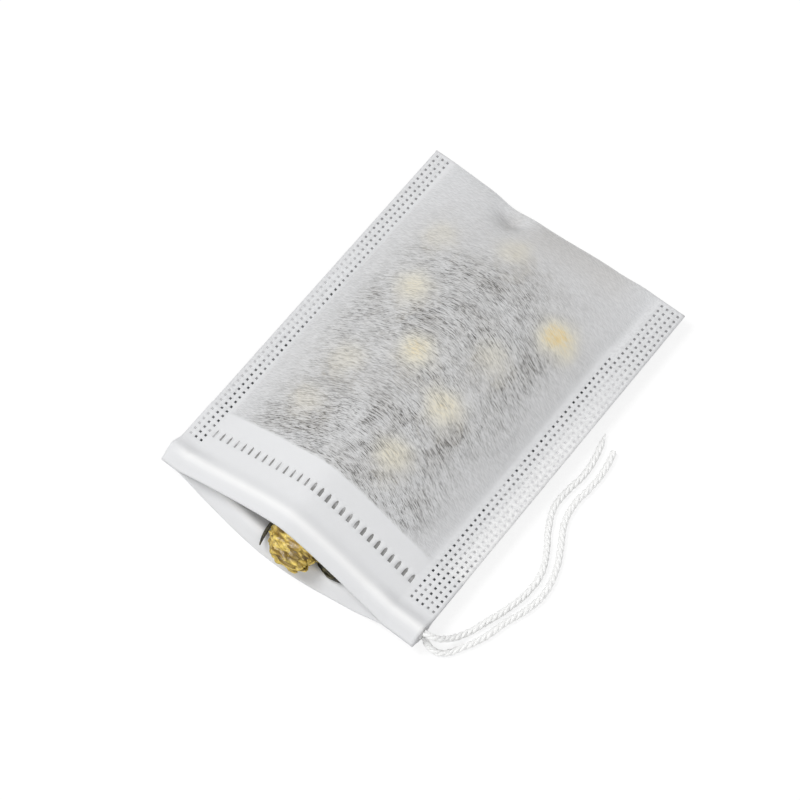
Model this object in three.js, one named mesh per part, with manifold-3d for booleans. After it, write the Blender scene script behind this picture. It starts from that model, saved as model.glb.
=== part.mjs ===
// A drawstring tea filter bag, filled with flower tea and lying on its back.
// Units are millimetres. +Z is up, +Y runs from the mouth to the bottom fold, and +X points to the
// side where the drawstring leaves. The origin is under the middle of the bag, on the table.
import * as THREE from "three";
import { mergeGeometries, mergeVertices } from "three/addons/utils/BufferGeometryUtils.js";
import Module from "manifold-3d";

const wasm = await Module();
wasm.setup();

// Driving dimensions of the bag
const BAG_WIDTH = 50;
const BAG_LENGTH = 70; // bottom fold to mouth corner
const PLY = 0.2; // one thickness of the non-woven cloth
const SEAM_HEIGHT = 3; // side seals over the table
const SEAM_SLIT = 0.1; // between the two plies beside a seal
const LEFT_SEAL = 3.4;
const RIGHT_SEAL = 6;
const CROWN = 8.6; // rise of the front sheet over the side seals
const CROWN_RUN = 0.42; // share of the length over which the crown rises from the fold
const MOUTH_DROP = 2.9; // fall of the crown from the body to the mouth
const BACK_REACH = 1.9; // the back sheet's lip stands this far out of the mouth corners
const FRONT_PULL = 1; // the front sheet's lip is drawn back this far
const FOLD_PULL = 0.4; // the bottom fold is drawn in at its middle
const FOLD_LIFT = 5.6; // the filling raises the fold, most towards the right
const DENT = { x: -8, v: 0.045, depth: 2.2, width: 3.6, length: 0.05 }; // pinch beside the bottom fold
const NOTCH = 1.4; // depth of that pinch in the fold's outline

// Hem, drawstring and welds
const CORD = 1.1; // drawstring diameter
const CORD_INSET = 2.5; // drawstring centre to the mouth's edge
const CORD_ROOM = 0.2; // clearance round the drawstring in its channel
const CHANNEL_SPREAD = 2.4; // half width of the swelling that the drawstring makes
const SLOT_INSET = 8.4; // row of weld slots to the mouth's edge
const FLAP = 12.4; // turned-in cloth, from the mouth's edge to its raw edge
const SLOT_COUNT = 29;
const SLOT_WIDTH = 0.6;
const SLOT_LENGTH = 1.7;
const SLOT_DEPTH = 0.22;
const DOT_PITCH = 1.05;
const DOT_WIDTH = 0.55;
const DOT_DEPTH = 0.28;
const LEFT_ROWS = 3;
const RIGHT_ROWS = 5;
const SHORT_ROW = 12; // dots that the innermost right row lacks at the fold
const ROW_INSET = 0.8; // first row of dots to the cut edge
const DOTS_END = 6.2; // last line of dots to the mouth's edge

// Places that follow from them
const LEFT = -BAG_WIDTH / 2;
const RIGHT = BAG_WIDTH / 2;
const INNER_LEFT = LEFT + LEFT_SEAL;
const INNER_RIGHT = RIGHT - RIGHT_SEAL;
const MIDDLE = (INNER_LEFT + INNER_RIGHT) / 2;
const HALF_SPAN = (INNER_RIGHT - INNER_LEFT) / 2;
const FOLD_Y = (BAG_LENGTH + BACK_REACH) / 2;
const CORNER_Y = FOLD_Y - BAG_LENGTH;
const FLAP_V = 1 - FLAP / BAG_LENGTH;
const CHANNEL_RADIUS = CORD / 2 + CORD_ROOM;

const CLOTH = { color: 0xe9eaec, roughness: 0.95, metalness: 0 };
const COTTON = { color: 0xf1f1ef, roughness: 0.9, metalness: 0 };
const PETAL = { color: 0xc79a35, roughness: 0.8, metalness: 0 };
const LEAF = { color: 0x2b2a20, roughness: 0.85, metalness: 0 };

const { clamp, lerp, smoothstep } = THREE.MathUtils;

// Solids from rings of points

// Joins rings of equally many points into a closed skin. The points of a ring run anticlockwise as
// seen by someone whom the rings approach, and outline is that ring laid flat, for the two caps.
function loft(rings, outline) {
  const count = outline.length;
  const faces = [];
  for (let i = 0; i + 1 < rings.length; i++) {
    for (let j = 0; j < count; j++) {
      const next = (j + 1) % count;
      const near = i * count;
      const far = near + count;
      faces.push(near + j, near + next, far + next, near + j, far + next, far + j);
    }
  }
  const last = (rings.length - 1) * count;
  for (const [a, b, c] of THREE.ShapeUtils.triangulateShape(outline, [])) {
    faces.push(last + a, last + b, last + c, c, b, a);
  }
  const geometry = new THREE.BufferGeometry().setFromPoints(rings.flat());
  return geometry.setIndex(faces);
}

function solidOf(geometry) {
  const bare = geometry.clone();
  bare.deleteAttribute("normal");
  bare.deleteAttribute("uv");
  const merged = mergeVertices(bare, 1e-4);
  return new wasm.Manifold(
    new wasm.Mesh({
      numProp: 3,
      vertProperties: merged.attributes.position.array,
      triVerts: new Uint32Array(merged.index.array),
    }),
  );
}

function geometryOf(solid) {
  const { vertProperties, triVerts } = solid.getMesh();
  const geometry = new THREE.BufferGeometry();
  geometry.setAttribute("position", new THREE.BufferAttribute(vertProperties, 3));
  geometry.setIndex(new THREE.BufferAttribute(triVerts, 1));
  geometry.computeVertexNormals();
  return geometry;
}

function circle(radius, sides) {
  return Array.from({ length: sides }, (_, i) => {
    const turn = (2 * Math.PI * (i + 0.5)) / sides;
    return new THREE.Vector2(radius * Math.cos(turn), radius * Math.sin(turn));
  });
}

// The two sheets as surfaces: x across the bag, v from 0 at the fold to 1 at the mouth

function across(x) {
  return clamp((x - MIDDLE) / HALF_SPAN, -1, 1);
}

function foldY(x) {
  const share = across(x);
  const pinch = Math.exp(-(((x - DENT.x) / 3) ** 2));
  return FOLD_Y - FOLD_PULL * (1 - share * share) - NOTCH * pinch;
}

// Rise of the fold over the seals, which dies away along a sheet.
function foldLift(x, v, run) {
  const share = across(x);
  const fade = Math.max(0, 1 - v / run) ** 2;
  return FOLD_LIFT * (1 - share * share) * smoothstep(x, -3, 17) * fade;
}

function mouthY(x, front) {
  const share = across(x);
  return CORNER_Y + (front ? FRONT_PULL : -BACK_REACH) * (1 - share * share);
}

function yAt(x, v, front) {
  return lerp(foldY(x), mouthY(x, front), v);
}

// Filled cloth is round in section, and turns into a tent with a soft ridge at the mouth.
function crownShape(x, v) {
  const share = across(x);
  const toMouth = smoothstep(v, 0.5, 0.92);
  const pillow = Math.pow(1 - share * share, 0.66);
  const soft = lerp(0.06, 0.006, toMouth);
  const ridge = Math.sqrt(1 + soft) - Math.sqrt(share * share + soft);
  const tent = ridge / (Math.sqrt(1 + soft) - Math.sqrt(soft));
  return lerp(pillow, tent, lerp(0.25, 1, toMouth));
}

function crownRise(v) {
  const rise = Math.pow(Math.sin((Math.PI / 2) * Math.min(1, v / CROWN_RUN)), 0.75);
  return CROWN * rise - MOUTH_DROP * smoothstep(v, 0.7, 1);
}

function dent(x, v) {
  const away = ((x - DENT.x) / DENT.width) ** 2 + ((v - DENT.v) / DENT.length) ** 2;
  return DENT.depth * Math.exp(-away) * Math.min(1, v / DENT.v);
}

// How far the back sheet has come down from the seals to the table, from 0 to 1.
function backShare(x, v) {
  const share = Math.abs(across(x));
  const sideways = clamp(1.9 * (1 - Math.pow(share, 2.5)), 0, 1);
  return sideways * Math.pow(Math.min(1, v / 0.1), 0.7);
}

function inHem(v) {
  return smoothstep(v, FLAP_V - 0.004, FLAP_V);
}

// Swelling of the hem round the drawstring, from 0 to 1, at a distance from the mouth's edge.
function swelling(v) {
  const away = Math.abs((1 - v) * BAG_LENGTH - CORD_INSET);
  return away < CHANNEL_SPREAD ? Math.cos((Math.PI / 2) * (away / CHANNEL_SPREAD)) ** 2 : 0;
}

function halfThickness(v) {
  return (PLY / 2) * (1 + inHem(v)) + CHANNEL_RADIUS * swelling(v);
}

// What the hem adds outside the sheet's own line where the two hems lie on each other.
function hemStack(v) {
  return PLY * inHem(v) + 2 * CHANNEL_RADIUS * swelling(v);
}

function frontOuter(x, v) {
  const shape = crownShape(x, v);
  const hem = lerp(hemStack(v), CHANNEL_RADIUS * swelling(v), smoothstep(shape, 0, 0.3));
  const body = crownRise(v) * shape + foldLift(x, v, 0.25) - dent(x, v);
  return SEAM_HEIGHT + SEAM_SLIT / 2 + PLY + body + hem;
}

function frontInner(x, v) {
  return frontOuter(x, v) - 2 * halfThickness(v);
}

function backOuter(x, v) {
  const sealed = SEAM_HEIGHT - SEAM_SLIT / 2 - PLY - hemStack(v);
  return lerp(sealed + foldLift(x, v, 0.1), 0, backShare(x, v));
}

function backInner(x, v) {
  return backOuter(x, v) + 2 * halfThickness(v);
}

// The bag: one folded sheet

function stepsAlong(bodyCount, hemInsets) {
  const body = Array.from({ length: bodyCount }, (_, i) => Math.pow(i / (bodyCount - 1), 1.5));
  const hem = hemInsets.map((inset) => 1 - inset / BAG_LENGTH);
  return [...body.map((share) => share * (FLAP_V - 0.004)), ...hem];
}

const HEM_INSETS = [FLAP, SLOT_INSET, 4.9, 4.1, 3.3, 2.5, 1.7, 0.9, 0.1, 0];
const FRONT_STEPS = stepsAlong(12, [FLAP, 9.6, 7.2, 4.9, 4.1, 3.3, 2.5, 1.7, 0.9, 0.1, 0]);
const FRONT_INNER_STEPS = stepsAlong(8, HEM_INSETS);
const BACK_INNER_STEPS = stepsAlong(6, HEM_INSETS);
const BACK_STEPS = stepsAlong(6, [FLAP, 4.9, 3.7, 2.5, 1.3, 0.1, 0]);

// Cuts across the bag, closer together where the cloth rises from the seals and at the ridge.
function acrossStations() {
  const left = [-1, -0.9, -0.7, -0.48, -0.33, -0.18, -0.07];
  const right = [0.07, 0.2, 0.38, 0.58, 0.76, 0.91, 1];
  const inner = [...left, 0, ...right].map((share) => MIDDLE + HALF_SPAN * share);
  return [LEFT, ...inner, RIGHT];
}

const STATIONS = acrossStations();

// One section of the sheet at x: out along the front, back inside it, and the same for the back.
function sheetSection(x) {
  const inside = (y) => Math.min(y, foldY(x) - PLY);
  const front = FRONT_STEPS.map((v) => new THREE.Vector2(yAt(x, v, true), frontOuter(x, v)));
  const frontIn = FRONT_INNER_STEPS.map(
    (v) => new THREE.Vector2(inside(yAt(x, v, true)), frontInner(x, v)),
  );
  const backIn = BACK_INNER_STEPS.map(
    (v) => new THREE.Vector2(inside(yAt(x, v, false)), backInner(x, v)),
  );
  const back = BACK_STEPS.map((v) => new THREE.Vector2(yAt(x, v, false), backOuter(x, v)));
  return [...front, ...frontIn.reverse(), ...backIn, ...back.reverse()];
}

function foldedSheet() {
  const sections = STATIONS.map(sheetSection);
  const rings = sections.map((section, i) =>
    section.map((p) => new THREE.Vector3(STATIONS[i], p.x, p.y)),
  );
  return solidOf(loft(rings, sections[0]));
}

// The weld that closes the slit between the plies along one side.
function sideWeld(from, to) {
  const length = BAG_LENGTH - 2 * PLY;
  const weld = new THREE.BoxGeometry(to - from, length, SEAM_SLIT + PLY);
  weld.translate((from + to) / 2, FOLD_Y - PLY - length / 2, SEAM_HEIGHT);
  return solidOf(weld);
}

// Square weld points of the two side seals, pressed into the front like small pyramids.
function sealDots() {
  const dots = [];
  const lines = Math.round((BAG_LENGTH - DOTS_END - ROW_INSET) / DOT_PITCH);
  const rows = [
    ...Array.from({ length: LEFT_ROWS }, (_, i) => LEFT + ROW_INSET + i * DOT_PITCH),
    ...Array.from({ length: RIGHT_ROWS }, (_, i) => RIGHT - ROW_INSET - i * DOT_PITCH),
  ];
  rows.forEach((x, row) => {
    const first = row === rows.length - 1 ? SHORT_ROW : 0;
    for (let line = first; line <= lines; line++) {
      const y = FOLD_Y - ROW_INSET - line * DOT_PITCH;
      const v = (FOLD_Y - y) / BAG_LENGTH;
      const above = PLY / 2;
      const reach = (DOT_WIDTH / Math.SQRT2) * (1 + above / DOT_DEPTH);
      const dot = new THREE.ConeGeometry(reach, DOT_DEPTH + above, 4, 1);
      dot.rotateX(-Math.PI / 2);
      dot.rotateZ(Math.PI / 4);
      dot.translate(x, y, frontOuter(x, v) + above - (DOT_DEPTH + above) / 2);
      dots.push(dot);
    }
  });
  return solidOf(mergeGeometries(dots));
}

// The row of weld slots that holds the hem down, each square to the cloth where it lies.
function hemSlots() {
  const slots = [];
  const v = 1 - SLOT_INSET / BAG_LENGTH;
  const pitch = (INNER_RIGHT - INNER_LEFT) / SLOT_COUNT;
  for (let i = 0; i < SLOT_COUNT; i++) {
    const x = INNER_LEFT + (i + 0.5) * pitch;
    const rise = frontOuter(x + SLOT_WIDTH / 2, v) - frontOuter(x - SLOT_WIDTH / 2, v);
    const slot = new THREE.BoxGeometry(SLOT_WIDTH, SLOT_LENGTH, 2 * SLOT_DEPTH);
    slot.rotateY(-Math.atan2(rise, SLOT_WIDTH));
    slot.translate(x, yAt(x, v, true), frontOuter(x, v));
    slots.push(slot);
  }
  return solidOf(mergeGeometries(slots));
}

// The drawstring's way through the front hem, round the closed corner and through the back hem.
// Each step has its place and the direction that the string's top side faces there.
function hemRoute(exitX) {
  const v = 1 - CORD_INSET / BAG_LENGTH;
  const turnX = INNER_LEFT - CORD;
  const xs = [exitX, ...STATIONS.slice(1, -1).reverse().filter((x) => x < exitX), turnX];
  const place = (x, front) => {
    const z = front ? frontOuter(x, v) - halfThickness(v) : backOuter(x, v) + halfThickness(v);
    return new THREE.Vector3(x, yAt(x, v, front), z);
  };
  const up = new THREE.Vector3(0, 0, 1);
  const run = (front) => xs.map((x) => ({ at: place(x, front), up: front ? up : up.clone().negate() }));
  const high = place(turnX, true);
  const low = place(turnX, false);
  const radius = (high.z - low.z) / 2;
  const bend = [1, 2, 3].map((quarter) => {
    const angle = (quarter * Math.PI) / 4;
    const outward = new THREE.Vector3(-Math.sin(angle), 0, Math.cos(angle));
    const centre = high.clone().lerp(low, 0.5);
    return { at: centre.addScaledVector(outward, radius), up: outward };
  });
  return [...run(true), ...bend, ...run(false).reverse()];
}

function tubeAlong(route, radius, sides) {
  const section = circle(radius, sides);
  const sideways = new THREE.Vector3(0, 1, 0);
  const rings = route.map(({ at, up }) =>
    section.map((p) => at.clone().addScaledVector(up, p.x).addScaledVector(sideways, p.y)),
  );
  return loft(rings, section);
}

function filterBag() {
  return geometryOf(
    foldedSheet()
      .add(sideWeld(LEFT, INNER_LEFT))
      .add(sideWeld(INNER_RIGHT, RIGHT))
      .subtract(solidOf(tubeAlong(hemRoute(RIGHT + 1), CHANNEL_RADIUS, 6)))
      .subtract(hemSlots())
      .subtract(sealDots()),
  );
}

// Drawstring tails: from the hem's open corner down to the table and along the bag's side

const ON_TABLE = CORD / 2 + 0.05;
const EXIT_GAP = 0.3;
const EXIT_Y = CORNER_Y + CORD_INSET;
const EXIT_LIFT = CHANNEL_RADIUS + PLY + SEAM_SLIT / 2;
const FRONT_TAIL = [
  [RIGHT + EXIT_GAP, EXIT_Y, SEAM_HEIGHT + EXIT_LIFT],
  [26.8, EXIT_Y + 0.4, 3.7],
  [28.2, -29.6, 2],
  [29.6, -26.9, ON_TABLE],
  [31, -23.4, ON_TABLE],
  [32.3, -19.4, ON_TABLE],
  [33.1, -15.4, ON_TABLE],
  [32.8, -11.6, ON_TABLE],
  [31.2, -8.2, ON_TABLE],
  [29.2, -5.1, ON_TABLE],
  [27.8, -1.7, ON_TABLE],
  [27.8, 1.9, ON_TABLE],
  [28.2, 5.6, ON_TABLE],
  [27.8, 9.2, ON_TABLE],
  [26.7, 13.2, ON_TABLE],
];
const BACK_TAIL = [
  [RIGHT + EXIT_GAP, EXIT_Y, SEAM_HEIGHT - EXIT_LIFT],
  [26.8, EXIT_Y - 0.5, 1.2],
  [28.6, -31.6, ON_TABLE],
  [30.7, -28.8, ON_TABLE],
  [32.3, -25.4, ON_TABLE],
  [33.5, -21.3, ON_TABLE],
  [34.9, -17.2, ON_TABLE],
  [35.2, -13.6, ON_TABLE],
  [34.3, -9.9, ON_TABLE],
  [32.6, -6.4, ON_TABLE],
  [30.8, -3.2, ON_TABLE],
  [30, 0.4, ON_TABLE],
  [30.3, 4.2, ON_TABLE],
  [30.3, 7.8, ON_TABLE],
  [29.6, 11.5, ON_TABLE],
];

function drawstringTail(points) {
  const path = new THREE.CatmullRomCurve3(points.map((p) => new THREE.Vector3(...p)), false, "centripetal");
  const section = new THREE.Shape(circle(CORD / 2, 8));
  return new THREE.ExtrudeGeometry(section, { steps: 20, extrudePath: path });
}

// The tea: dried flower buds and dark rolled leaves

const CLEAR = 0.35; // kept between the tea and whatever it lies against
const FLOOR = PLY + CLEAR;
const BUD_RADIUS = 4.2;
const BUD_FLATNESS = 0.92;
const BUDS = [
  [-10.3, 11.2],
  [-2.7, 2.2],
  [6.2, -2.4],
  [4.9, -13.4],
  [12.3, 19.2],
  [-2.1, 27],
  [-13.5, 22.3],
  [6.9, 9.1],
  [-11.1, -4.7],
  [-11.8, -13.6],
];
const MOUTH_BUD = { x: 0.7, y: -32.5, z: 4.75, radius: 4.2, height: 5.2 };

function vAt(x, y) {
  return (foldY(x) - y) / (foldY(x) - mouthY(x, true));
}

// The tallest round thing that fits under the front sheet at a place.
function roomFor(x, y, radius) {
  const tops = [0, 0.5, 0.8].flatMap((share) =>
    Array.from({ length: 8 }, (_, i) => {
      const turn = (i * Math.PI) / 4;
      const px = x + radius * share * Math.cos(turn);
      const py = y + radius * share * Math.sin(turn);
      const room = frontInner(px, vAt(px, py)) - CLEAR - FLOOR;
      return (2 * room) / (1 + Math.sqrt(1 - share * share));
    }),
  );
  return Math.min(...tops);
}

// A bud of closely furled petals: a flattened globe whose ribs wind from the stalk to the tip.
function flowerBud(radius, height, petals, sides, levels, furrow) {
  const geometry = new THREE.SphereGeometry(1, sides, levels);
  geometry.rotateX(Math.PI / 2);
  const position = geometry.attributes.position;
  const point = new THREE.Vector3();
  for (let i = 0; i < position.count; i++) {
    point.fromBufferAttribute(position, i);
    const level = Math.acos(clamp(point.z, -1, 1));
    const turn = Math.atan2(point.y, point.x);
    const valley = (1 - Math.cos(petals * turn + 2.2 * level)) / 2;
    point.multiplyScalar(1 - furrow * Math.sin(level) * valley);
    position.setXYZ(i, point.x * radius, point.y * radius, (point.z * height) / 2);
  }
  return geometry;
}

function placedBud([x, y], index) {
  const radius = Math.min(BUD_RADIUS, roomFor(x, y, BUD_RADIUS) / (2 * BUD_FLATNESS));
  const height = 2 * radius * BUD_FLATNESS;
  const name = `flower_bud_${String(index + 1).padStart(2, "0")}`;
  const bud = named(name, flowerBud(radius, height, 6, 12, 6, 0.09), PETAL);
  bud.position.set(x, y, FLOOR + height / 2);
  bud.rotation.z = index * 1.1;
  return bud;
}

function mouthBud() {
  const { x, y, z, radius, height } = MOUTH_BUD;
  const bud = named("flower_bud_at_mouth", flowerBud(radius, height, 9, 27, 9, 0.1), PETAL);
  bud.position.set(x, y, z);
  return bud;
}

const LEAF_WIDTH = 2;
const LEAF_THICKNESS = 1.1;
const LEAVES = [
  { x: -3.6, y: 18.4, length: 9, turn: 15 },
  { x: 13, y: 9.4, length: 9, turn: 96 },
  { x: 15, y: 1, length: 9, turn: 82 },
  { x: 11, y: -6, length: 8, turn: 66 },
  { x: -2.6, y: -11.6, length: 10, turn: 40 },
  { x: -11, y: -18.2, length: 11, turn: 4 },
  { x: -5, y: -21, length: 12, turn: -14 },
  { x: 6.4, y: -19.8, length: 12, turn: 12 },
  { x: 13.6, y: -16.4, length: 8, turn: 62 },
  { x: 4.4, y: 22.6, length: 9, turn: 104 },
  { x: -16.4, y: 4.4, length: 9, turn: 88 },
  { x: -4, y: -31.6, length: 8, turn: 92 },
  { x: 0.4, y: 1.4, z: 9.4, length: 11, turn: -28 },
  { x: -5.4, y: 8.6, z: 9.2, length: 10, turn: 55 },
  { x: 3.4, y: 11, z: 9.3, length: 8, turn: 20 },
  { x: 2.4, y: -10.8, z: 9, length: 9, turn: 75 },
  { x: 7.5, y: -31.8, length: 6.5, turn: -6 },
];

// A leaf rolled to a spindle, bowed along its length and twisted a little.
function rolledLeaf(length, index) {
  const section = circle(1, 5);
  const bow = 0.09 * length * (index % 2 ? 1 : -1);
  const shares = [0, 0.2, 0.5, 0.8, 1];
  const rings = shares.map((share) => {
    const fullness = Math.pow(Math.sin(Math.PI * lerp(0.07, 0.93, share)), 0.7);
    const twist = 1.2 * (share - 0.5) + index;
    const middle = bow * (1 - (2 * share - 1) ** 2);
    return section.map((p) => {
      const turned = p.clone().rotateAround(new THREE.Vector2(), twist);
      const wide = (turned.x * fullness * LEAF_WIDTH) / 2;
      const high = (turned.y * fullness * LEAF_THICKNESS) / 2;
      return new THREE.Vector3(length * (share - 0.5), middle + wide, high);
    });
  });
  return loft(rings, section);
}

// Height of a leaf that lies on the back sheet.
function lyingHeight(leaf) {
  const floors = leaf.geometry.attributes.position;
  const point = new THREE.Vector3();
  leaf.updateMatrix();
  const heights = Array.from({ length: floors.count }, (_, i) => {
    point.fromBufferAttribute(floors, i).applyMatrix4(leaf.matrix);
    const v = (foldY(point.x) - point.y) / (foldY(point.x) - mouthY(point.x, false));
    return backInner(point.x, v);
  });
  return Math.max(...heights) + CLEAR + LEAF_THICKNESS / 2;
}

function placedLeaf({ x, y, z, length, turn }, index) {
  const name = `tea_leaf_${String(index + 1).padStart(2, "0")}`;
  const leaf = named(name, rolledLeaf(length, index), LEAF);
  leaf.position.set(x, y, 0);
  leaf.rotation.z = THREE.MathUtils.degToRad(turn);
  leaf.position.z = z ?? lyingHeight(leaf);
  return leaf;
}

// Meshes

function named(name, geometry, finish) {
  const mesh = new THREE.Mesh(geometry, new THREE.MeshStandardMaterial(finish));
  mesh.name = name;
  return mesh;
}

const teaBag = new THREE.Group();
teaBag.add(named("filter_bag", filterBag(), CLOTH));
teaBag.add(named("drawstring", tubeAlong(hemRoute(RIGHT), CORD / 2, 8), COTTON));
teaBag.add(named("drawstring_front_tail", drawstringTail(FRONT_TAIL), COTTON));
teaBag.add(named("drawstring_back_tail", drawstringTail(BACK_TAIL), COTTON));
teaBag.add(mouthBud());
BUDS.forEach((place, index) => teaBag.add(placedBud(place, index)));
LEAVES.forEach((leaf, index) => teaBag.add(placedLeaf(leaf, index)));

export default teaBag;
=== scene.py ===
"""A drawstring tea filter bag: its cloth, string and filling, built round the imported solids."""

import math

import bmesh
import bpy
import numpy as np
from bpy.props import FloatProperty, FloatVectorProperty, IntProperty, PointerProperty
from mathutils import Matrix, Vector, noise


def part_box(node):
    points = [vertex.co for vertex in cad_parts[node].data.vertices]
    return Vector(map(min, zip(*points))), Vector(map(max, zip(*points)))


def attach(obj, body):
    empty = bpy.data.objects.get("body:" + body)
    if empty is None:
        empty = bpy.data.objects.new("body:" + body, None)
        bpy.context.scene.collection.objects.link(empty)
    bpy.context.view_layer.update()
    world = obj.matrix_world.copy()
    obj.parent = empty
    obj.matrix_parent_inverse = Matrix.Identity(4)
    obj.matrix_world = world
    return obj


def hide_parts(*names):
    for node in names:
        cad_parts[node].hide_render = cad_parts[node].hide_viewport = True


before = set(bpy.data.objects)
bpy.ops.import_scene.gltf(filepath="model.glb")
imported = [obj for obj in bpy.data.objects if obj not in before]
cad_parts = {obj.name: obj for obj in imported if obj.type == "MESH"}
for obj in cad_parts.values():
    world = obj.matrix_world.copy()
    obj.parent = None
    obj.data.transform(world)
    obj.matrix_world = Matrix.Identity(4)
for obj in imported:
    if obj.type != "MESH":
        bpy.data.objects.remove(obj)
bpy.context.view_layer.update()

bl_info = {
    "name": "Drawstring Tea Filter Bag",
    "version": (1, 0, 0),
    "blender": (4, 5, 0),
    "location": "View3D > Sidebar > Tea Bag",
    "description": "Builds a filled tea filter bag with a slotted drawstring hem",
    "category": "Add Mesh",
}

MM = 0.001
BODY = "root"
BUD_NODES = ["flower_bud_at_mouth"] + sorted(
    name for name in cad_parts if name.startswith("flower_bud_") and name != "flower_bud_at_mouth"
)
LEAF_NODES = sorted(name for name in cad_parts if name.startswith("tea_leaf_"))

# The free tails of the string: from the hem's open corner down to the table, in metres.
ON_TABLE = 0.0006
FRONT_TAIL = [
    (0.0253, -0.03155, 0.0040),
    (0.0268, -0.03115, 0.0037),
    (0.0282, -0.0296, 0.0020),
    (0.0296, -0.0269, ON_TABLE),
    (0.0310, -0.0234, ON_TABLE),
    (0.0323, -0.0194, ON_TABLE),
    (0.0331, -0.0154, ON_TABLE),
    (0.0328, -0.0116, ON_TABLE),
    (0.0312, -0.0082, ON_TABLE),
    (0.0292, -0.0051, ON_TABLE),
    (0.0278, -0.0017, ON_TABLE),
    (0.0278, 0.0019, ON_TABLE),
    (0.0282, 0.0056, ON_TABLE),
    (0.0278, 0.0092, ON_TABLE),
    (0.0267, 0.0132, ON_TABLE),
]
BACK_TAIL = [
    (0.0253, -0.03155, 0.0020),
    (0.0268, -0.03205, 0.0012),
    (0.0286, -0.0316, ON_TABLE),
    (0.0307, -0.0288, ON_TABLE),
    (0.0323, -0.0254, ON_TABLE),
    (0.0335, -0.0213, ON_TABLE),
    (0.0349, -0.0172, ON_TABLE),
    (0.0352, -0.0136, ON_TABLE),
    (0.0343, -0.0099, ON_TABLE),
    (0.0326, -0.0064, ON_TABLE),
    (0.0308, -0.0032, ON_TABLE),
    (0.0300, 0.0004, ON_TABLE),
    (0.0303, 0.0042, ON_TABLE),
    (0.0303, 0.0078, ON_TABLE),
    (0.0296, 0.0115, ON_TABLE),
]


# Settings that a user would change


def length_setting(name, description, default):
    return FloatProperty(
        name=name, description=description, default=default, min=0.0, precision=5, unit="LENGTH"
    )


def colour_setting(name, description, default):
    return FloatVectorProperty(
        name=name, description=description, default=default, size=4, min=0.0, max=1.0, subtype="COLOR"
    )


class TeaBagSizes(bpy.types.PropertyGroup):
    """Sizes of the folded sheet, its welds and its string"""

    width: length_setting("Width", "Outer edge to outer edge of the side seals", 0.050)
    length: length_setting("Length", "Bottom fold to mouth corner", 0.070)
    ply: length_setting("Ply", "One layer in a stack of cloth", 0.0002)
    cloth: length_setting("Cloth", "Thickness of the cloth itself", 0.00014)
    seam_height: length_setting("Seam height", "Side seals over the table", 0.003)
    seam_slit: length_setting("Seam slit", "Between the two plies beside a seal", 0.0001)
    left_seal: length_setting("Left seal", "Width of the left side seal", 0.0034)
    right_seal: length_setting("Right seal", "Width of the right side seal", 0.006)
    crown: length_setting("Crown", "Rise of the front sheet over the seals", 0.0086)
    mouth_drop: length_setting("Mouth drop", "Fall of the crown towards the mouth", 0.0029)
    back_reach: length_setting("Back reach", "How far the back lip stands out", 0.0019)
    front_pull: length_setting("Front pull", "How far the front lip is drawn back", 0.001)
    fold_pull: length_setting("Fold pull", "How far the fold is drawn in", 0.0004)
    fold_lift: length_setting("Fold lift", "How far the filling raises the fold", 0.0024)
    notch: length_setting("Notch", "Depth of the pinch in the fold's outline", 0.0005)
    corner_reach: length_setting("Corner reach", "How far the right seal reaches past the fold", 0.0006)
    cord: length_setting("String", "Diameter of the drawstring", 0.0011)
    cord_inset: length_setting("String inset", "String to the mouth's edge", 0.0025)
    cord_room: length_setting("String room", "Clearance round the string", 0.0002)
    channel_spread: length_setting("Channel spread", "Half width of the hem's swelling", 0.0032)
    slot_inset: length_setting("Slot inset", "Weld slots to the mouth's edge", 0.0084)
    slot_width: length_setting("Slot width", "Width of one weld slot", 0.0006)
    slot_length: length_setting("Slot length", "Length of one weld slot", 0.0017)
    flap: length_setting("Flap", "Depth of the turned-in cloth", 0.0124)
    dot_pitch: length_setting("Dot pitch", "Weld dot to weld dot", 0.00105)
    dot_width: length_setting("Dot width", "Width of one weld dot", 0.00052)
    row_inset: length_setting("Row inset", "First weld dot to the cut edge", 0.0008)
    slots: IntProperty(name="Slots", description="Weld slots across the hem", default=29, min=1)
    left_rows: IntProperty(name="Left rows", description="Rows of dots in the left seal", default=3, min=1)
    right_rows: IntProperty(name="Right rows", description="Rows of dots in the right seal", default=5, min=1)
    dots: IntProperty(name="Dots", description="Weld dots along a seal", default=61, min=1)


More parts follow.
